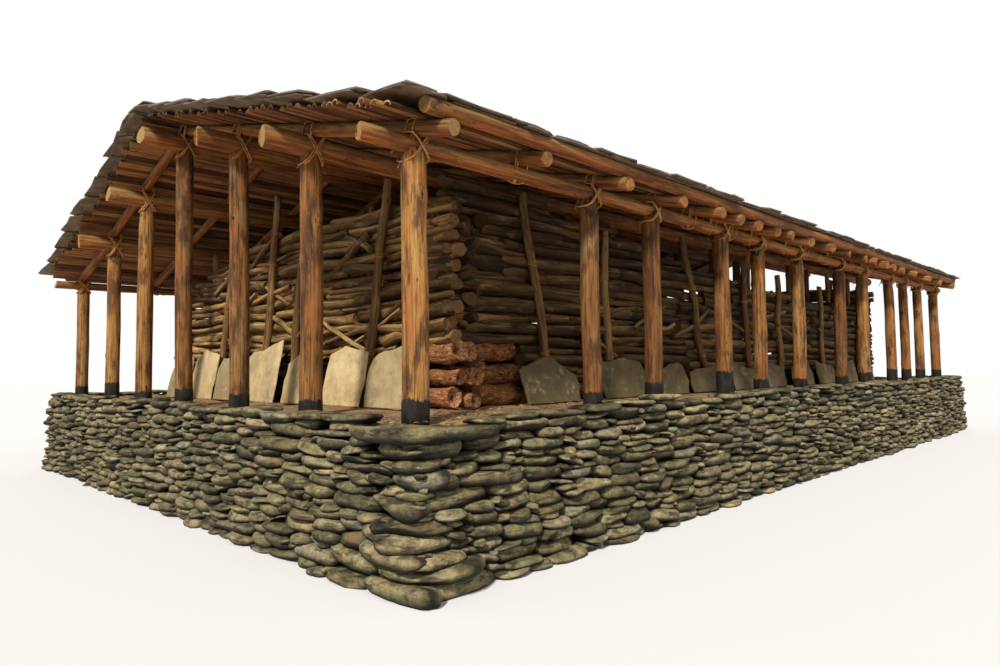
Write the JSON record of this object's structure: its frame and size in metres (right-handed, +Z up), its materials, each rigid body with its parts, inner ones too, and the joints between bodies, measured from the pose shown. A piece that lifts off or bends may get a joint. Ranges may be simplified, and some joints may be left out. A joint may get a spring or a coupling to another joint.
{
  "type": "traditional log and slate house",
  "caption": "Long low gabled house: open log posts on a dry-stone platform carry a slate roof on log purlins and rafters, with stacked-log walls set back inside",
  "frame": {"origin": "on the ground, under the centre of the house's overall box", "axes": "+X along the ridge to the right as seen from the front, +Y from the front eave to the back eave, +Z up"},
  "size_m": [14.818, 9.097, 4.2437],
  "materials": {
    "river_stone": "rough, split flat river stones laid dry",
    "earth": "dry earth with leaf litter",
    "peeled_post": "peeled round log, weathered, foot charred black",
    "peeled_log": "peeled round log with pale sawn ends",
    "split_strip": "split half-round strips, smoked red-brown",
    "slate": "rough split slate, dark grey-brown",
    "stacked_log": "crooked branch wood with grey-brown bark",
    "tree_fern": "fibrous red-brown tree-fern trunk",
    "bark_pole": "crooked pole, dark red-brown bark",
    "pale_slab": "thin split slate slab, yellow-grey"
  },
  "bodies": {
    "root": {"front_retaining_wall": "river_stone", "back_retaining_wall": "river_stone", "left_retaining_wall": "river_stone", "right_retaining_wall": "river_stone", "earth_fill": "earth", "front_posts": "peeled_post", "back_posts": "peeled_post", "left_posts": "peeled_post", "right_posts": "peeled_post", "inner_posts": "peeled_post", "front_eave_purlin": "peeled_log", "front_lower_purlin": "peeled_log", "front_upper_purlin": "peeled_log", "ridge_purlin": "peeled_log", "back_upper_purlin": "peeled_log", "back_lower_purlin": "peeled_log", "back_eave_purlin": "peeled_log", "front_rafters": "peeled_log", "back_rafters": "peeled_log", "front_eave_pole": "peeled_log", "back_eave_pole": "peeled_log", "front_roof_deck": "split_strip", "back_roof_deck": "split_strip", "front_slates": "slate", "back_slates": "slate", "ridge_slates": "slate", "left_log_wall": "stacked_log", "right_log_wall": "stacked_log", "front_log_wall": "stacked_log", "back_log_wall": "stacked_log", "fern_trunks": "tree_fern", "front_wall_poles": "bark_pole", "back_wall_poles": "bark_pole", "left_wall_poles": "bark_pole", "right_wall_poles": "bark_pole", "inner_wall_poles": "bark_pole", "front_foot_slabs": "pale_slab", "back_foot_slabs": "pale_slab", "left_foot_slabs": "pale_slab", "right_foot_slabs": "pale_slab"}
  },
  "joints": []
}
